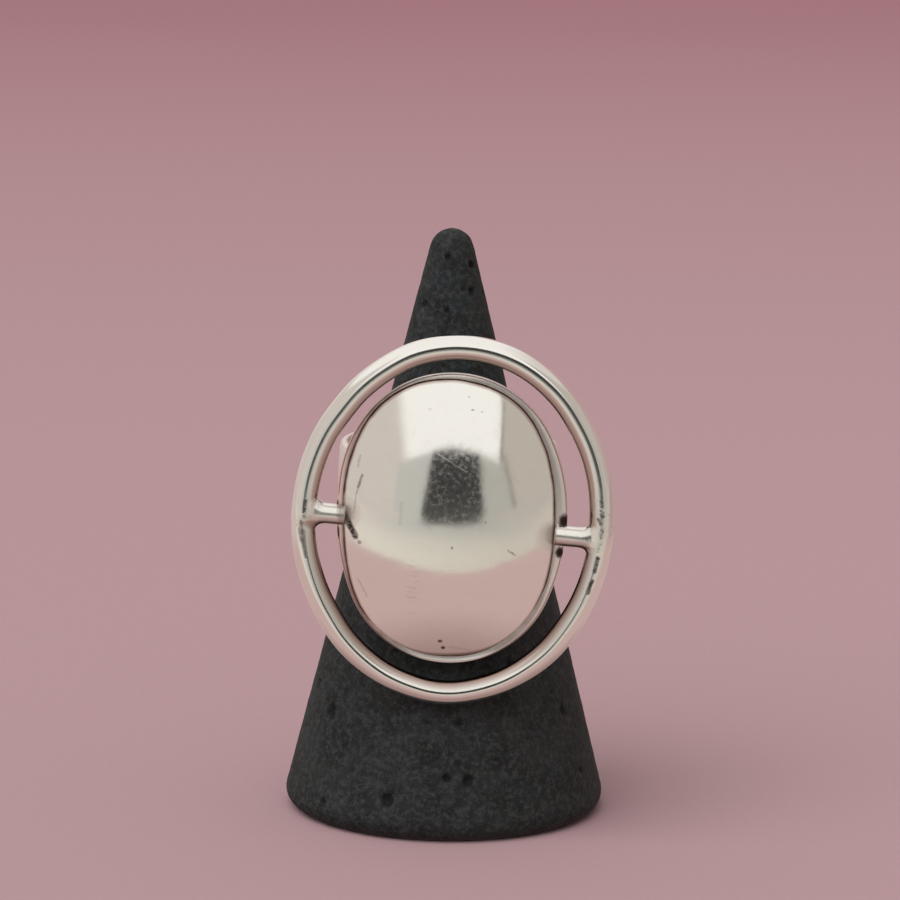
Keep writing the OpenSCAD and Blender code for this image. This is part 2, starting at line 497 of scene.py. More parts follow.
shares = [1 - k / DOME_RINGS for k in range(DOME_RINGS)] + [0.3 / DOME_RINGS]
deselect()
bpy.ops.mesh.primitive_circle_add(vertices=DOME_STEPS, radius=DOME_A)
dome = named("dome")
with editing(dome):
    for before, share in zip(shares, shares[1:]):
        push(z=dome_height(share) - dome_height(before))
        scale(share / before, share / before)
    bpy.ops.mesh.merge(type="CENTER")
    pick("edges", lambda p: p.z < HAIR)
    push(z=-DOME_FOOT)
    bpy.ops.mesh.edge_face_add()
    close_up()

# degrees counter-clockwise from the right, outward nudge of the foot in mm
DOME_NUDGES = [
    (0, 0), (15, 0), (30, -0.07), (45, -0.15), (57, -0.18), (64, -0.24), (71, -0.27), (78, -0.17),
    (90, -0.02), (100, -0.05), (107, -0.13), (114, -0.21), (120, -0.16), (135, -0.12), (145, -0.09),
    (155, 0), (165, 0.05), (180, 0), (195, -0.02), (225, 0), (255, -0.02), (270, -0.02), (285, -0.07),
    (300, -0.11), (315, -0.07), (330, 0), (345, 0),
]
points = places(dome)
reach = np.hypot(points[:, 0], points[:, 1]) / DOME_A
around = np.arctan2(points[:, 1], points[:, 0])
full = 2 + (FULLNESS - 2) * reach ** 2
grown = (abs(np.cos(around) / DOME_A) ** full + abs(np.sin(around) / DOME_B) ** full) ** (-1 / full)
grown += hand_made(around, DOME_NUDGES, 6) * reach ** 2
points[:, 0] = reach * grown * np.cos(around)
points[:, 1] = reach * grown * np.sin(around)
set_places(dome, points)
note(dome, "reach", reach)
stand_up(dome, DOME_X, HEAD_Z, PLATE_FRONT)

# %% [markdown]
# ## The open oval of wire
# A round wire was bent round a former and soldered shut. A circle that stands on the oval's outline
# is swept round it. No hand bends a wire perfectly, so soft nudges move the oval out or in by up to
# a third of a millimetre, before Subdivision rounds the section.

# %% Oval wire
WIRE_R = 1.13 * MM
OVAL_X, OVAL_TURN = 0.5 * MM, -3.1
ROD_LEAD, WIRE_LEAD = 0.15 * MM, 0.1 * MM
ROD_OUT = PLATE_FRONT + ROD_LEAD
OVAL_OUT = ROD_OUT + WIRE_LEAD
deselect()
bpy.ops.mesh.primitive_circle_add(
    vertices=24, radius=WIRE_R, rotation=(math.pi / 2, 0, 0), location=(OVAL_A, 0, 0)
)
wire = named("oval_wire")
bpy.ops.object.transform_apply()
with editing(wire):
    sweep_oval(OVAL_A, OVAL_B, OVAL_END_R, spacing=0.55 * MM)
    close_up()


def oval_inside(points, away=0):
    """For points on the wire: 1 on the side that faces the oval's middle, -1 on the far side."""
    end_y, side_x, half = oval_arcs(OVAL_A, OVAL_B, OVAL_END_R)
    turn = np.degrees(np.arctan2(points[:, 1], abs(points[:, 0]) + side_x))
    to_side = np.hypot(abs(points[:, 0]) + side_x, points[:, 1]) - (OVAL_A + side_x)
    to_end = np.hypot(points[:, 0], abs(points[:, 1]) - end_y) - OVAL_END_R
    return (away - np.where(abs(turn) < half, to_side, to_end)) / WIRE_R


# degrees counter-clockwise from the right, outward nudge of the wire in mm
WIRE_NUDGES = [
    (0, 0.10), (10, 0.13), (20, 0.20), (30, 0.20), (45, 0.09), (60, 0.05), (75, 0.12), (90, 0.12),
    (105, 0.09), (120, -0.09), (135, -0.01), (150, 0.21), (160, 0.27), (170, 0.26), (180, 0.27),
    (190, 0.31), (200, 0.23), (210, 0.11), (225, -0.04), (240, -0.09), (255, 0), (270, 0.17),
    (285, 0.03), (300, -0.03), (315, 0.06), (330, 0.13), (340, 0.15), (350, 0.12),
]
points = places(wire)
around = np.arctan2(points[:, 1], points[:, 0])
away = hand_made(around, WIRE_NUDGES)
note(wire, "inner", oval_inside(points))
points[:, 0] += away * np.cos(around)
points[:, 1] += away * np.sin(around)
set_places(wire, points)
modify(wire, "SUBSURF", levels=1, render_levels=1)
stand_up(wire, OVAL_X, OVAL_Z, OVAL_OUT, OVAL_TURN)

# %% [markdown]
# ## The two rods and their solder
# Each rod runs from the foot of the dome to the wire. Solder has crept round both ends, so the metal
# flows from rod to wire. The same happens here: a short, slightly swollen stretch of the wire is
# copied, joined to the rod and remeshed into one skin, and Smooth then melts the corner between them.

# %% Rod and solder
ROD_R, ROD_DROP = 0.935 * MM, 0.58 * MM
ROD_Z, ROD_TURN = HEAD_Z - ROD_DROP, -4.7
SOLDER_REACH, SOLDER_SWELL, SOLDER_SINK = 2.4 * MM, 0.07 * MM, 0.03 * MM
ROD_END_ROUND, FLARE_LENGTH = 0.06 * MM, 2.0 * MM
# the flare's steps: along the rod in mm, and how much wider each gets as a share of the flare
FLARE_STEPS = ((0.35, 0.04), (0.25, 0.1), (0.2, 0.18), (0.2, 0.24), (0.3, 0.16), (0.7, 0.0))


def solder_sleeve(name, meet):
    """A copy of the stretch of wire round the place where it meets a rod, thickest at that place."""
    only(wire)
    bpy.ops.object.duplicate()
    sleeve = named(name)
    with editing(sleeve):
        pick("verts", lambda p: (p - meet).length > SOLDER_REACH)
        bpy.ops.mesh.delete(type="VERT")
        pick_all()
        bpy.ops.transform.shrink_fatten(value=-SOLDER_SINK)
        bpy.ops.mesh.select_mode(type="EDGE")
        bpy.ops.mesh.select_all(action="DESELECT")
        bpy.ops.mesh.select_non_manifold()
        bpy.ops.mesh.edge_face_add()
        close_up()
    melt = sleeve.vertex_groups.new(name="melt")
    for vertex in sleeve.data.vertices:
        off = (vertex.co - meet).length / SOLDER_REACH
        melt.add([vertex.index], max(0.0, 1 - off ** 2), "REPLACE")
    modify(sleeve, "DISPLACE", vertex_group="melt", mid_level=0.0, strength=SOLDER_SWELL)
    return sleeve


def flared_bar(name, length, flare):
    """A round bar that stands on its inner end and gets wider towards the wire."""
    deselect()
    bpy.ops.mesh.primitive_circle_add(vertices=40, radius=0.97 * ROD_R, fill_type="NGON")
    bar = named(name)
    with editing(bar):
        pick_all()
        push(z=ROD_END_ROUND)
        scale(1.03, 1.03)
        push(z=length - (ROD_END_ROUND + FLARE_LENGTH))
        for height, wider in FLARE_STEPS:
            push(z=height * MM)
            scale(1, 1 + flare * wider)
        close_up()
    return bar


# %% [markdown]
# The bar is laid on its sloping line before both are joined. Like the wire, the finished piece keeps
# for each of its points how far it faces the inside of the oval, so that one finish suits both.

# %% Left and right rod
ROD_TUCK = 0.15 * MM
SKIN_GRAIN = 0.07 * MM


def soldered_rod(name, side, start, flare):
    """A rod on the left (side -1) or right (side 1) with a soldered stretch of the wire."""
    slope = math.radians(ROD_TURN)
    reach = OVAL_A + side * (OVAL_X - DOME_X) + ROD_TUCK
    along = side * reach
    meet = Vector((DOME_X + along * math.cos(slope), -OVAL_OUT, ROD_Z + along * math.sin(slope)))
    piece = solder_sleeve(name, meet)
    bar = flared_bar(name + "_bar", reach - start, flare)
    only(bar)
    bar.matrix_world = (
        Matrix.Translation((DOME_X, -ROD_OUT, ROD_Z))
        @ Matrix.Rotation(-slope, 4, "Y")
        @ Matrix.Translation((side * start, 0, 0))
        @ Matrix.Rotation(side * math.pi / 2, 4, "Y")
        @ Matrix.Rotation(math.pi / 2, 4, "Z")
    )
    bpy.ops.object.transform_apply()
    piece.select_set(True)
    bpy.context.view_layer.objects.active = piece
    bpy.ops.object.join()
    modify(piece, "REMESH", mode="VOXEL", voxel_size=SKIN_GRAIN)
    modify(piece, "SMOOTH", factor=0.5, iterations=14)
    c, s = math.cos(math.radians(OVAL_TURN)), math.sin(math.radians(OVAL_TURN))
    x, z = (places(piece) - (OVAL_X, 0, OVAL_Z))[:, [0, 2]].T
    flat = np.stack([x * c + z * s, z * c - x * s], 1)
    around = np.arctan2(flat[:, 1], flat[:, 0])
    note(piece, "inner", oval_inside(flat, hand_made(around, WIRE_NUDGES)))
    smooth(piece)
    return piece


left_rod = soldered_rod("left_rod", -1, start=9.45 * MM, flare=0.8)
right_rod = soldered_rod("right_rod", 1, start=9.6 * MM, flare=1.15)

# %% [markdown]
# ## The saddle
# Behind the plate a short block fills the space between the flat plate and the round band. It is a
# disc that grows towards the plate, where solder has filled the corner, and it is hollowed to the
# band's curve with a Boolean.

# %% Saddle
SADDLE_R, SADDLE_DEPTH, SADDLE_BITE = 4.5 * MM, 4.2 * MM, 0.1 * MM
SADDLE_FLARE = 0.25 * MM
FORMER_LENGTH = 20 * MM
saddle_out = PLATE_FRONT - PLATE_THICK + SADDLE_BITE
deselect()
bpy.ops.mesh.primitive_circle_add(vertices=96, radius=SADDLE_R, fill_type="NGON")
saddle = named("saddle")
with editing(saddle):
    pick_all()
    for narrower in (0.965, 0.985):
        push(z=-SADDLE_FLARE)
        scale(narrower, narrower)
    push(z=-SADDLE_DEPTH)
    close_up()
stand_up(saddle, 0, HEAD_Z, saddle_out)
deselect()
bpy.ops.mesh.primitive_cylinder_add(
    vertices=BAND_STEPS,
    radius=BAND_OUTER_R - BAND_WALL / 2,
    depth=FORMER_LENGTH,
    location=(0, 0, BAND_Z),
)
former = named("former")
modify(saddle, "BOOLEAN", operation="DIFFERENCE", object=former, solver="EXACT")
bpy.data.objects.remove(former)
modify(saddle, "BEVEL", width=0.05 * MM, segments=2, limit_method="ANGLE")
only(saddle)
bpy.ops.object.shade_smooth_by_angle(angle=math.radians(35))
report(saddle)

# %% [markdown]
# ## Writing materials as sums
# A material here is a set of masks that are added and multiplied: how scratched, how tarnished, how
# deep. Node by node that is hard to read, so two small classes do the wiring. A Value is one output
# socket, and sums of Values add the Math nodes. A Finish is the node tree of one material.

# %% Value and Finish
class Value:
    """One output of a node. Arithmetic on it adds Math nodes to the same tree."""

    def __init__(self, finish, socket):
        self.finish = finish
        self.socket = socket

    def __add__(self, other):
        return self.finish.maths("ADD", self, other)

    def __sub__(self, other):
        return self.finish.maths("SUBTRACT", self, other)

    def __rsub__(self, other):
        return self.finish.maths("SUBTRACT", other, self)

    def __mul__(self, other):
        return self.finish.maths("MULTIPLY", self, other)

    def __pow__(self, other):
        return self.finish.maths("POWER", self, other)

    __radd__ = __add__
    __rmul__ = __mul__

    def highest(self, other):
        return self.finish.maths("MAXIMUM", self, other)

    def size(self):
        return self.finish.maths("ABSOLUTE", self)

    def step(self, low, high):
        """0 below low, 1 above high and a smooth rise between them. Low may be the higher one."""
        return self.finish.node(
            "ShaderNodeMapRange",
            {"interpolation_type": "SMOOTHSTEP"},
            {"Value": self, "From Min": low, "From Max": high},
        )


class Finish:
    """The node tree of a material, or of the world, with one method that adds any node."""

    def __init__(self, owner):
        owner.use_nodes = True
        self.owner = owner
        self.tree = owner.node_tree
        self.tree.nodes.clear()

    def node(self, kind, settings=None, sockets=None, out=0):
        """Add a node, change its settings, then feed its sockets with values or with links."""
        made = self.tree.nodes.new(kind)
        for name, value in (settings or {}).items():
            setattr(made, name, value)
        for name, value in (sockets or {}).items():
            if isinstance(value, Value):
                self.tree.links.new(value.socket, made.inputs[name])
            else:
                made.inputs[name].default_value = value
        return Value(self, made.outputs[out]) if len(made.outputs) else None

    def maths(self, operation, *values):
        return self.node("ShaderNodeMath", {"operation": operation}, dict(enumerate(values)))

    def place(self):
        """Object coordinates in millimetres, as three Values."""
        where = self.node("ShaderNodeTexCoord", out="Object")
        apart = self.node("ShaderNodeSeparateXYZ", sockets={"Vector": where})
        return [Value(self, axis) * (1 / MM) for axis in apart.socket.node.outputs]

    def noise(self, x, y, z, detail=2.0, rough=0.5):
        """A cloud pattern from 0 to 1 whose grain is one unit of x, y and z."""
        where = self.node("ShaderNodeCombineXYZ", sockets={"X": x, "Y": y, "Z": z})
        sockets = {"Vector": where, "Scale": 1.0, "Detail": detail, "Roughness": rough}
        return self.node("ShaderNodeTexNoise", None, sockets)

    def blend(self, share, first, second):
        """A colour that goes from first to second as share goes from 0 to 1."""
        colour_a, colour_b, colour_out = 6, 7, 2
        ends = {
            place: end if isinstance(end, Value) else (*end, 1)
            for place, end in ((colour_a, first), (colour_b, second))
        }
        return self.node("ShaderNodeMix", {"data_type": "RGBA"}, {"Factor": share, **ends}, colour_out)

    def layers(self, colour, *layers):
        """Lay colours over the first one, each with a mask that says where it shows."""
        for mask, over in layers:
            colour = self.blend(mask, colour, over)
        return colour

    def surface(self, sockets):
        """End the material in a Principled shader with these sockets."""
        shader = self.node("ShaderNodeBsdfPrincipled", None, sockets)
        self.node("ShaderNodeOutputMaterial", None, {"Surface": shader})
        print(self.owner.name, "has", len(self.tree.nodes), "nodes")
        return self.owner


def finish_for(name):
    return Finish(bpy.data.materials.new(name))


# %% [markdown]
# ## Dark porous stone
# Close up, the stone is charcoal grey with faint cool clouds and pale mineral grains. It is quite matt.
# The pore depths that were kept on the mesh darken the hollows, and the pinholes are darkened too:
# this is painted shade, which makes the pores look black. A fine bump gives the sanded grain that is
# too small to model.

# %% Stone
def stone_finish():
    f = finish_for("dark_porous_stone")
    x, y, z = f.place()
    clouds = f.noise(x * 0.35, y * 0.35, z * 0.35, 4.0).step(0.35, 0.68) * 0.7
    cool = f.noise(x * 0.55 + 31, y * 0.55, z * 0.55, 3.0).step(0.5, 0.72)
    grain = f.noise(x * 1.9, y * 1.9, z * 1.9, 4.0, 0.75)
    grains = f.noise(x * 6 + 9, y * 6, z * 6, 1.0).step(0.66, 0.76)
    pore = f.node("ShaderNodeAttribute", {"attribute_name": "pore"}, out="Fac").step(0.0, 0.6)
    pinholes = f.noise(x * 3.4 + 5, y * 3.4, z * 3.4, 1.0).step(0.335, 0.27)
    colour = f.layers(
        (0.0068, 0.0078, 0.0078),
        (clouds, (0.0165, 0.019, 0.0192)),
        (cool * 0.6, (0.0125, 0.0185, 0.0235)),
        (grain.step(0.42, 0.66) * 0.75, (0.037, 0.0405, 0.041)),
        (grains * 0.35, (0.07, 0.075, 0.075)),
        # painted shade: the pores get darker with their depth, and the pinholes darker too
        (pore.highest(pinholes * 0.6) * 0.75, (0.004, 0.004, 0.004)),
    )
    height = grain * 0.6 + grains * 0.3 - pinholes * 0.9
    bump = f.node("ShaderNodeBump", None, {"Height": height, "Strength": 0.55, "Distance": 0.09 * MM})
    return f.surface({
        "Base Color": colour,
        "Roughness": 0.82 + grain * 0.15,
        "Normal": bump,
        "Specular IOR Level": 0.35,
    })


stone = stone_finish()

# %% [markdown]
# ## Worn, polished silver
# Polished silver is almost all reflection, so its finish is about what disturbs the mirror: a haze
# from handling, hair scratches in every direction, and dark oxide where a cloth can't reach. One
# recipe serves all pieces. Each piece adds its own marks and its own corners where oxide sits. On
# some pieces the brown film and dark oxide layers also carry painted shade, and on the plate a
# painted pink reflection.

# %% Silver
SILVER, HANDLED, SOLDER = (0.94, 0.915, 0.875), (0.88, 0.855, 0.80), (0.93, 0.90, 0.85)
# the brown film colour is real tarnish on the dome and band and painted shade on the wire and rods; the
# oxide colour also paints shade and shadow lines; the pink one is a painted reflection
OXIDE_AND_SHADE, FILM_AND_SHADE, PINK_REFLECTION = (0.052, 0.035, 0.028), (0.36, 0.235, 0.20), (0.93, 0.70, 0.68)


def scratches(f, x, z, degrees, spacing, length, thin=0.016):
    """Hair scratches in one direction: the level lines of a stretched cloud pattern."""
    c, s = math.cos(math.radians(degrees)), math.sin(math.radians(degrees))
    along, across = x * c + z * s, z * c - x * s
    level = f.noise(along * (1 / length), across * (1 / spacing), degrees, 1.0)
    broken = f.noise(along * (2 / length), across * (0.6 / spacing), degrees + 7, 1.0).step(0.5, 0.62)
    return (level - 0.5).size().step(thin, 0) * broken


def line_mark(f, x, z, start, end, width):
    """A soft mark along a straight line from start to end on the face of the head."""
    dx, dz = end[0] - start[0], end[1] - start[1]
    share = f.node(
        "ShaderNodeMath",
        {"operation": "MULTIPLY", "use_clamp": True},
        {0: (x - start[0]) * dx + (z - start[1]) * dz, 1: 1 / (dx * dx + dz * dz)},
    )
    off_x, off_z = x - start[0] - share * dx, z - start[1] - share * dz
    return (off_x * off_x + off_z * off_z).step(width * width, 0.0)


def line_marks(f, x, z, rows):
    """The strongest of the marks in a list, at each point."""
    mask = 0.0
    for start, end, width, strength in rows:
        mask = (line_mark(f, x, z, start, end, width) * strength).highest(mask)
    return mask


def ragged(f, x, z, seed, amount):
    """A fine shift to and fro, in mm, that makes the edge of a mark uneven."""
    return f.noise(x * 3, seed, z * 3, 3.0, 0.7) * amount - amount / 2


def spot(f, x, z, middle, wide, high):
    """A soft oval spot on the face of the head."""
    u, v = (x - middle[0]) * (1 / wide), (z - middle[1]) * (1 / high)
    return (u * u + v * v).step(1.1, 0.1)


def outline_share(x, z):
    """How far out from the dome's middle a point lies: 1 is on the dome's outline."""
    u = ((x - DOME_X / MM) * (MM / DOME_A)).size()
    v = ((z - HEAD_Z / MM) * (MM / DOME_B)).size()
    return (u ** FULLNESS + v ** FULLNESS) ** (1 / FULLNESS)


def silver_finish(name, details, polish, haze_from=0.5, film_and_painted_colour=FILM_AND_SHADE):
    """Worn silver. The details function gives film and painted light, dark marks and shade, solder, dull
    spots.
    """
    f = finish_for(name)
    x, y, z = f.place()
    film_and_painted_light, dark, solder, scored = details(f, x, y, z)
    smudge = f.noise(x * 0.3 + 3, y * 0.3, z * 0.3, 3.0, 0.6).step(haze_from, haze_from + 0.22)
    grease = f.noise(x * 1.1, y * 1.1 + 17, z * 1.1, 3.0, 0.6).step(0.45, 0.75)
    hair = scratches(f, x, z, 62, 0.55, 7.0).highest(scratches(f, x, z, 118, 0.7, 9.0))
    hair = hair.highest(scratches(f, x, z, 8, 0.6, 8.0)).highest(scratches(f, x, z, 35, 0.9, 6.0))
    # besides real tarnish and oxide, the film and dark layers lay painted shade, and on the plate a
    # painted pink reflection
    coats = (grease * 0.25, HANDLED), (solder * 0.7, SOLDER), (film_and_painted_light, film_and_painted_colour), (dark, OXIDE_AND_SHADE)
    worn = smudge * 0.04 + grease * 0.03 + hair * 0.036
    rough = polish + worn + solder * 0.15 + dark * 0.3 + scored * 0.3
    lumps = f.noise(x * 1.5, y * 1.5, z * 1.5)
    ripple = f.noise(x * 0.22, y * 0.22, z * 0.22, 1.0)
    height = ripple * 0.03 + solder * lumps * 0.06 - hair * 0.0003 - dark * 0.004
    bump = f.node("ShaderNodeBump", None, {"Height": height, "Strength": 1.0, "Distance": 1.0 * MM})
    colour = f.layers(SILVER, *coats)
    return f.surface({"Base Color": colour, "Metallic": 1.0, "Roughness": rough, "Normal": bump})


print("silver", SILVER, "oxide", OXIDE_AND_SHADE)

# %% [markdown]
# ## Marks on the dome
# Two casting pits near the bottom, a dark streak at the left edge, some specks and a patch of fine
# scratches in the middle are what an owner would know this ring by. They are placed in millimetres
# on the face of the head. Oxide sits all round the foot, and the metal is dull beside the rods.

# %% Dome finish
# middle x, z; half width, half height; strength
DOME_SPOTS = [
    ((-0.55, 18.85), 0.27, 0.2, 0.85), ((-0.27, 18.18), 0.25, 0.21, 0.9), ((-8.0, 27.95), 0.24, 0.26, 0.5),
    ((0.41, 27.95), 0.12, 0.16, 0.6), ((2.1, 40.32), 0.2, 0.09, 0.55), ((2.95, 40.15), 0.16, 0.07, 0.4),
    ((1.74, 41.44), 0.16, 0.1, 0.3), ((-1.76, 40.35), 0.25, 0.12, 0.15), ((3.4, 30.3), 0.1, 0.12, 0.4),
]
# streaks and scratches: from x, z to x, z; half width; strength
DOME_STREAKS = [
    ((-9.35, 30.45), (-8.85, 29.5), 0.36, 0.75), ((-8.95, 29.6), (-8.4, 28.5), 0.4, 1.0),
    ((-7.8, 34.15), (-8.15, 33.0), 0.16, 0.65), ((-8.1, 33.4), (-8.3, 32.4), 0.12, 0.4),
    ((-8.35, 32.3), (-8.5, 30.7), 0.1, 0.28), ((-8.0, 35.9), (-8.2, 34.9), 0.14, 0.24),
    ((5.5, 27.6), (6.12, 27.15), 0.13, 0.45), ((-8.1, 24.5), (-7.28, 22.95), 0.14, 0.22),
    ((-4.2, 31.9), (-4.3, 30.0), 0.26, 0.1), ((0.4, 18.25), (2.2, 17.9), 0.16, 0.12),
]
DOME_SCRATCHES = [
    ((-0.97, 36.45), (1.66, 34.85), 0.06, 1.0), ((-1.0, 33.2), (-0.73, 31.9), 0.05, 0.9),
    ((-0.3, 33.3), (-0.75, 32.0), 0.05, 0.8), ((0.1, 33.5), (0.9, 33.7), 0.06, 0.6),
    ((-1.3, 35.6), (-1.1, 33.8), 0.05, 0.5), ((2.2, 33.1), (2.28, 32.8), 0.07, 1.0),
    ((1.1, 32.6), (1.9, 32.9), 0.07, 0.5), ((0.6, 36.2), (2.3, 35.2), 0.04, 0.4),
]


def dome_details(f, x, y, z):
    """The listed marks, oxide round the foot, and a patch of specks in the middle."""
    uneven = f.noise(x * 0.8, y * 0.8, z * 0.8)
    reach = f.node("ShaderNodeAttribute", {"attribute_name": "reach"}, out="Fac")
    film_and_painted_light = (reach + uneven * 0.008).step(0.968, 0.99) * (uneven * 0.5 + 0.5)
    dark = (reach + uneven * 0.012).step(0.992, 1.004) * (uneven * 0.6 + 0.2)
    wobble_x, wobble_z = x + ragged(f, x, z, 1.0, 0.3), z + ragged(f, x, z, 9.0, 0.3)
    for middle, wide, high, strength in DOME_SPOTS:
        dark = dark.highest(spot(f, x, z, middle, wide, high) * strength)
    mottled = f.noise(x * 4, 4.0, z * 4, 1.0).step(0.2, 0.7) * 0.45 + 0.6
    dark = dark.highest(line_marks(f, wobble_x, wobble_z, DOME_STREAKS) * mottled)
    smudges = f.noise(x * 0.8, 3.0, z * 3.5).step(0.5, 0.66) * spot(f, x, z, (-3.1, 23.9), 0.8, 3.2)
    dark = dark.highest(smudges * 0.17)
    centre = spot(f, x, z, (0.7, 33.6), 3.4, 4.6)
    clouds = f.noise(x * 1.1, 7.0, z * 1.1) + 0.3
    specks = f.noise(x * 2.4, 5.0, z * 2.4, 2.0, 0.55).step(0.36, 0.72) * clouds
    scored = specks * centre * 0.5
    joints = spot(f, x, z, (-9.3, 30.7), 1.8, 1.9).highest(spot(f, x, z, (9.4, 28.6), 1.6, 1.8))
    scored = scored.highest(joints * 1.2)
    scored = scored.highest(line_marks(f, wobble_x, wobble_z, DOME_SCRATCHES) * 0.5)
    return film_and_painted_light, dark, 0.0, scored


dome_silver = silver_finish("silver_dome", dome_details, polish=0.085)

# %% [markdown]
# ## Plate, wire and solder
# The lip of the plate is duller than the dome, for no cloth gets into that corner, and its front is
# tinted with a painted pink reflection. Oxide has gathered beside the rods, and where they meet the
# wire, solder lies in pale, uneven patches. The back part of the plate's edge, the wire's inner side
# and the rods' undersides get painted shade.

# %% Other silver finishes
# middle x, z; half width, half height
LIP_OXIDE = [
    ((10.55, 30.0), 0.62, 0.85), ((10.2, 27.1), 0.5, 0.65),
    ((-10.2, 31.3), 0.3, 0.6), ((-10.1, 28.6), 0.34, 0.85),
]


def plate_details(f, x, y, z):
    """Painted pink reflection on the lip, less to the right, painted shade at the right edge, oxide in the
    corner and by the rods.
    """
    uneven = f.noise(x * 0.8, y * 0.8, z * 0.8)
    # painted shade on the back part of the plate's edge, right of the middle
    rim_shade = y.step(-12.85, -12.6) * x.step(-8.5, -3.0) * (uneven * 0.4 + 0.2)
    # painted pink reflection on the front of the plate, strongest on the left
    film_and_painted_light = (x.step(-3.0, -8.5) * 0.75 + 0.2) * y.step(-12.4, -12.6)
    dark = (outline_share(x, z) + uneven * 0.01).step(1.035, 1.005) * (uneven * 0.5 + 0.2)
    dark = dark.highest(rim_shade)
    wobble_x, wobble_z = x + ragged(f, x, z, 1.0, 0.5), z + ragged(f, x, z, 9.0, 0.5)
    for middle, wide, high in LIP_OXIDE:
        dark = dark.highest(spot(f, wobble_x, wobble_z, middle, wide, high))
    return film_and_painted_light, dark, 0.0, 0.0


# where solder covers the wire: middle x, z; half length along the wire
WIRE_SOLDER = [((13.9, 29.5), 2.1), ((-12.9, 30.3), 0.8)]
# dark marks beside the solder: from x, z to x, z; half width; strength
WIRE_OXIDE = [
    ((13.62, 30.5), (13.8, 30.1), 0.2, 0.8), ((14.0, 29.5), (14.05, 29.35), 0.16, 0.8),
    ((13.62, 26.9), (13.38, 25.7), 0.26, 1.0), ((13.16, 24.8), (12.82, 23.7), 0.26, 1.0),
    ((-13.28, 29.9), (-13.3, 29.0), 0.24, 0.7), ((-13.3, 29.2), (-13.15, 28.2), 0.34, 0.85),
    ((-13.15, 28.3), (-12.8, 26.7), 0.2, 0.75),
]


def solder_details(f, x, y, z):
    """Pale solder and dark marks on the wire, and painted shade that browns and darkens its inner side."""
    patchy = f.noise(x * 1.1, y * 1.1, z * 1.1)
    inner = f.node("ShaderNodeAttribute", {"attribute_name": "inner"}, out="Fac")
    solder = 0.0
    for middle, half in WIRE_SOLDER:
        off_x, off_z = x - middle[0], z - middle[1]
        off = (off_x * off_x + off_z * off_z) ** 0.5 * (1 / half) + patchy * 1.8
        solder = off.step(2.2, 1.0).highest(solder)
    # painted shade: the side of the wire that faces the oval's middle is browner and a little darker
    film_and_painted_light = inner.step(0.15, 0.85) * 0.85
    dark = inner.step(0.7, 1.0) * 0.12
    wobble_x = x + ragged(f, x, z, 2.0, 0.4)
    mottled = f.noise(x * 2.5, 6.0, z * 2.5, 1.0).step(0.25, 0.65) * 0.4 + 0.6
    dark = dark.highest(line_marks(f, wobble_x, z, WIRE_OXIDE) * mottled)
    return film_and_painted_light, dark * 0.92, solder, 0.0


def rod_details(f, x, y, z):
    """Like the wire. The rods are duller, with painted shade along the underside and a painted shadow line
    at the bottom edge, and dark at their inner ends.
    """
    film_and_painted_light, dark, solder, _ = solder_details(f, x, y, z)
    rod = x.size().step(12.9, 11.6)
    above = z - ROD_Z / MM - (x - DOME_X / MM) * math.tan(math.radians(ROD_TURN))
    # painted shade along the underside of each rod
    underside_shade = (above.step(0.05, -0.35) * 0.3).highest(above.step(-0.4, -0.75) * 0.8)
    near = rod.highest(above.size().step(1.6, 0.9))
    film_and_painted_light = film_and_painted_light * (1 - near) + underside_shade * near * x.size().step(13.8, 12.6)
    left, right = x.step(0.0, -5.0), x.step(0.0, 5.0)
    ends = (x.step(-10.15, -10.02) * left).highest(x.step(9.96, 9.8) * right)
    film_and_painted_light = (ends * 0.4).highest(film_and_painted_light)
    crease = (x.step(-9.97, -9.83) * left).highest(x.step(9.92, 9.78) * right)
    # painted shadow line along the bottom edge of each rod
    dark = dark * (1 - rod) + above.step(-0.78, -0.98) * rod * 0.35
    dark = (crease * 0.25).highest(dark)
    return film_and_painted_light, dark, solder, rod * 0.6


def band_details(f, x, y, z):
    """The inside of the band is dull and brown, for it is never polished."""
    inside = ((x * x + y * y) ** 0.5).step(9.8, 9.4)
    return inside * 0.6, 0.0, 0.0, inside * 1.3


plate_silver = silver_finish("silver_plate", plate_details, polish=0.3, film_and_painted_colour=PINK_REFLECTION)
wire_silver = silver_finish("silver_wire", solder_details, polish=0.1)
rod_silver = silver_finish("silver_rods", rod_details, polish=0.1)
band_silver = silver_finish("silver_band", band_details, polish=0.3, haze_from=0.42)

# %% [markdown]
# ## Finish, body and node of every piece
# The ring is one soldered solid and nothing on it moves, so each piece of silver replaces the one
# ring node and rides on the same body as the cone.

# %% Fit every piece with its finish
PIECES = {
    cone: ("cone_stand", "stone", stone),
    band: ("ring", "silver", band_silver),
    saddle: ("ring", "silver", band_silver),
    plate: ("ring", "silver", plate_silver),
    dome: ("ring", "silver", dome_silver),
    wire: ("ring", "silver", wire_silver),
    left_rod: ("ring", "silver", rod_silver),
    right_rod: ("ring", "silver", rod_silver),
}
for piece, (node, slot, material) in PIECES.items():
    piece.data.materials.clear()
    piece.data.materials.append(material)
    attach(piece, "root")
    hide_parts(node)
print(len(PIECES), "pieces")

# %% [markdown]
# ## The floor
# The floor is plain and pale, with a breath of the dusty pink that silver picks up so readily. It
# gets a little deeper behind the ring, as floors do where the light falls off.

# %% Floor
FLOOR_NEAR, FLOOR_FAR = (0.332, 0.219, 0.233), (0.240, 0.113, 0.130)
FLOOR_NAP = (0.2656, 0.1752, 0.1864)


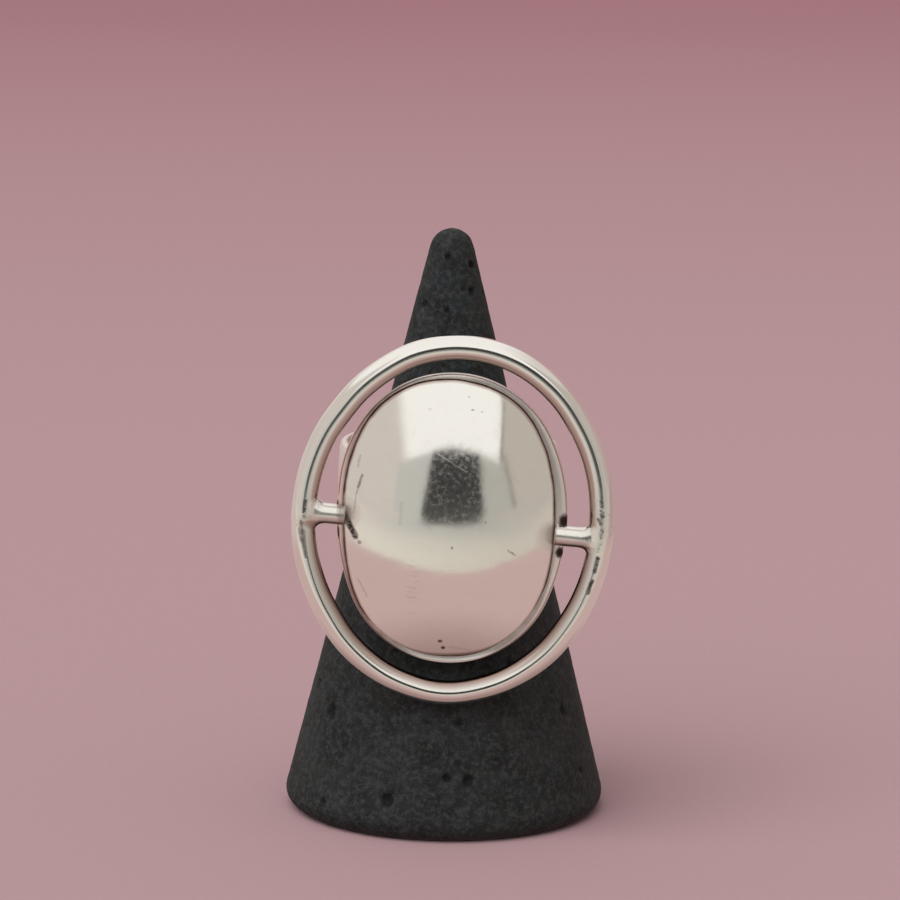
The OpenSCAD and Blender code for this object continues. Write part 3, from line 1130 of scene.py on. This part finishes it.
def floor_finish():
    """A nearly even tone that deepens with the distance behind the ring."""
    f = finish_for("pale_floor")
    x, y, _ = f.place()
    nap = f.noise(x * 1.4, y * 1.4, 0.0, 3.0)
    tone = f.blend(y.step(0, 1300), FLOOR_NEAR, FLOOR_FAR)
    tint = f.blend(nap.step(0.3, 0.7) * 0.12, tone, FLOOR_NAP)
    return f.surface({"Base Color": tint, "Roughness": 0.9, "Specular IOR Level": 0.0})


deselect()
bpy.ops.mesh.primitive_plane_add(size=6)
floor = named("floor")
floor.data.materials.append(floor_finish())
floor.visible_glossy = False
report(floor)

# %% [markdown]
# ## The ground that the silver mirrors
# The polished dome shows the ground in front of it, all bent together. So a glowing card that only
# reflections see lies on the floor, a painted reflection of the ground: pink, with painted shade
# that darkens it under the ring, and beyond its edge a pale apron with a painted dark patch for the lens.

# %% Mirrored ground
def ground_glow():
    """The ground as the silver mirrors it, in mm: pink with painted shade near the ring, and in front of
    its edge a pale apron with a painted dark reflection of the lens.
    """
    f = finish_for("ground_glow")
    x, y, _ = f.place()
    distance = (x * x + y * y) ** 0.5
    # painted shade: the mirrored pink is darker close to the ring
    pink = f.blend(distance.step(15, 42), (0.31, 0.21, 0.19), (0.555, 0.405, 0.385))
    side = x.step(-80, 80)
    pink_far = f.blend(side, (0.60, 0.50, 0.48), (0.43, 0.32, 0.31))
    pink = f.blend(x.size().step(80, 130), pink, pink_far)
    near = f.blend(side, (0.71, 0.67, 0.59), (0.58, 0.54, 0.47))
    panel = f.blend(side, (0.52, 0.515, 0.48), (0.45, 0.44, 0.41))
    wall = f.blend(side, (0.60, 0.545, 0.505), (0.49, 0.45, 0.41))
    far = f.blend(x.size().step(70, 115), panel, wall)
    apron = f.blend(y.step(-75, -150), near, far)
    # painted reflection of the dark lens opening, low on the apron
    under_lens = y.step(-148, -176) * (x - 6).size().step(65, 40)
    apron = f.blend(under_lens, apron, (0.06, 0.06, 0.054))
    edge = y + (x - 3).size().step(0, 55) * 6.5
    colour = f.blend(edge.step(-63.5, -61.5), apron, pink)
    glow = f.node("ShaderNodeEmission", None, {"Color": colour})
    f.node("ShaderNodeOutputMaterial", None, {"Surface": glow})
    return f.owner


deselect()
bpy.ops.mesh.primitive_plane_add(size=1)
ground = named("mirrored_ground")
with editing(ground):
    pick_all()
    scale(2, 1.2)
    bpy.ops.transform.translate(value=(0, 0.4, 0.2 * MM))
ground.data.materials.append(ground_glow())
ground.visible_camera = ground.visible_diffuse = ground.visible_shadow = False
report(ground)

# %% [markdown]
# ## A soft light tent
# Silver shows the room that it is in. Small things are photographed in a tent of white cloth with a
# lamp above and a dark opening for the lens, and those are what the dome mirrors. The tent is drawn
# into the world as a few windows. Each is given by its corners, as degrees to the right and degrees
# up, seen from the ring. A dot product for each edge cuts such a window out of the sky.

# %% Light tent
def aim(right, up):
    """The direction that lies so many degrees to the right of the front and so many up."""
    right, up = math.radians(right), math.radians(up)
    return Vector((math.sin(right) * math.cos(up), -math.cos(right) * math.cos(up), math.sin(up)))


world = bpy.data.worlds.new("light_tent")
bpy.context.scene.world = world
tent = Finish(world)
sky = tent.node("ShaderNodeTexCoord", out="Generated")
sky_parts = tent.node("ShaderNodeSeparateXYZ", sockets={"Vector": sky}).socket.node.outputs
sky_x, sky_y, sky_z = (Value(tent, part) for part in sky_parts)


def window(corners, soft):
    """1 inside the corners, 0 outside, with an edge that is so soft."""
    ways = [aim(*corner) for corner in corners]
    middle = sum(ways, Vector()).normalized()
    inside = 1.0
    for start, end in zip(ways, ways[1:] + ways[:1]):
        inward = start.cross(end).normalized()
        if inward.dot(middle) < 0:
            inward = -inward
        sockets = {0: sky, 1: inward}
        dot = tent.node("ShaderNodeVectorMath", {"operation": "DOT_PRODUCT"}, sockets, "Value")
        inside = dot.step(-soft, soft) * inside
    return inside


LEFT_WALL, RIGHT_WALL = (0.61, 0.56, 0.52), (0.50, 0.455, 0.41)
LAMP_SIDE, SHADE_SIDE = (0.60, 0.53, 0.51), (0.47, 0.40, 0.38)
CEILING, PINK_BEHIND, PALE_BEHIND = (0.92, 0.90, 0.87), (0.50, 0.335, 0.335), (0.76, 0.70, 0.65)
PANEL_LEFT, PANEL_RIGHT = (0.52, 0.515, 0.48), (0.445, 0.434, 0.40)
LAMP_CLOTH, SEAM, BACKDROP = (0.93, 0.92, 0.885), (0.17, 0.165, 0.12), (0.70, 0.60, 0.60, 1)
LENS_LOW, LENS_HIGH = (0.07, 0.07, 0.064), (0.042, 0.042, 0.041)
to_right = sky_x.step(-0.3, 0.3)
pale = sky_x.step(0.12, 0.04) * sky_x.step(-0.75, -0.65) * sky_y.step(0.5, 0.7) * sky_z.step(0.08, 0.2)
lamp = window([(-27.5, 5), (28.2, 5), (28.2, 40), (-31, 40)], 0.012) * sky_x.step(-0.47, -0.36)
arch = [(-28.5, 7), (-19.5, 10.6), (-8.2, 13.6), (1.9, 15), (16.4, 12), (31, 6.4), (48, -18), (-36, -18)]
seam_high = window([(27.4, 42), (29.6, 42), (29.4, 8), (27.8, 8)], 0.006)
seam_low = window([(28, 10), (30.6, 10), (45.5, -15), (42.5, -15)], 0.012)
lens = [(-9.4, 13), (3, 14), (16.4, 11.8), (21, -10.3), (-16.9, -10.7)]
light = tent.layers(
    LEFT_WALL,
    (to_right, RIGHT_WALL),
    (sky_x.step(-0.9, -0.97), LAMP_SIDE),
    (sky_x.step(0.9, 0.97), SHADE_SIDE),
    (sky_y.step(0.1, 0.35) * sky_x.step(-0.6, -0.4), PINK_BEHIND),
    (pale, PALE_BEHIND),
    (sky_z.step(0.5, 0.66) * (sky_x.step(0.7, 0.25) * 0.6 + 0.4), CEILING),
    (lamp, LAMP_CLOTH),
    (window(arch, 0.016), tent.blend(to_right, PANEL_LEFT, PANEL_RIGHT)),
    (seam_high * 0.8, SEAM),
    (seam_low * 0.5, SEAM),
    (window(lens, 0.01), tent.blend(sky_z.step(-0.14, -0.03), LENS_LOW, LENS_HIGH)),
)
backdrop = tent.node("ShaderNodeBackground", None, {"Color": BACKDROP})
studio = tent.node("ShaderNodeBackground", None, {"Color": light})
seen = tent.node("ShaderNodeLightPath", out="Is Camera Ray")
both = tent.node("ShaderNodeMixShader", None, {0: seen, 1: studio, 2: backdrop})
tent.node("ShaderNodeOutputWorld", None, {"Surface": both})
print("light tent of", len(world.node_tree.nodes), "nodes")

# %% [markdown]
# ## A soft lamp
# One soft lamp, high on the left and in front, gives the stone and the floor their gentle shadows.
# The silver doesn't mirror it, for the tent shows its light already.

# %% Soft lamp
bpy.ops.object.light_add(type="SUN", rotation=(math.radians(38), 0, math.radians(-35)))
lamp_light = named("soft_lamp")
lamp_light.data.energy = 2.6
lamp_light.data.angle = math.radians(60)
lamp_light.visible_glossy = False
print(lamp_light.name, "of strength", lamp_light.data.energy)

# %% [markdown]
# ## Camera
# A long lens, a little above the ring and looking down on it by ten degrees, with the picture
# leaning by less than a degree. Standard view colours keep the whites of the silver clean.

# %% Camera
LOOK_DOWN, LEAN = 10.40, 0.86
FOCAL_PIXELS, PICTURE_PIXELS, SENSOR_MM = 4259, 900, 36
CAMERA_PLACE = (0.1 * MM, -392.31 * MM, 106.04 * MM)
bpy.ops.object.camera_add(location=CAMERA_PLACE)
camera = named("camera")
lean = Matrix.Rotation(math.radians(LEAN), 3, "Z")
camera.rotation_euler = (Matrix.Rotation(math.radians(90 - LOOK_DOWN), 3, "X") @ lean).to_euler()
camera.data.sensor_width = SENSOR_MM
camera.data.lens = SENSOR_MM * FOCAL_PIXELS / PICTURE_PIXELS
camera.data.clip_start = 0.01
bpy.context.scene.camera = camera
bpy.context.scene.view_settings.view_transform = "Standard"
print("lens", round(camera.data.lens, 1), "mm")
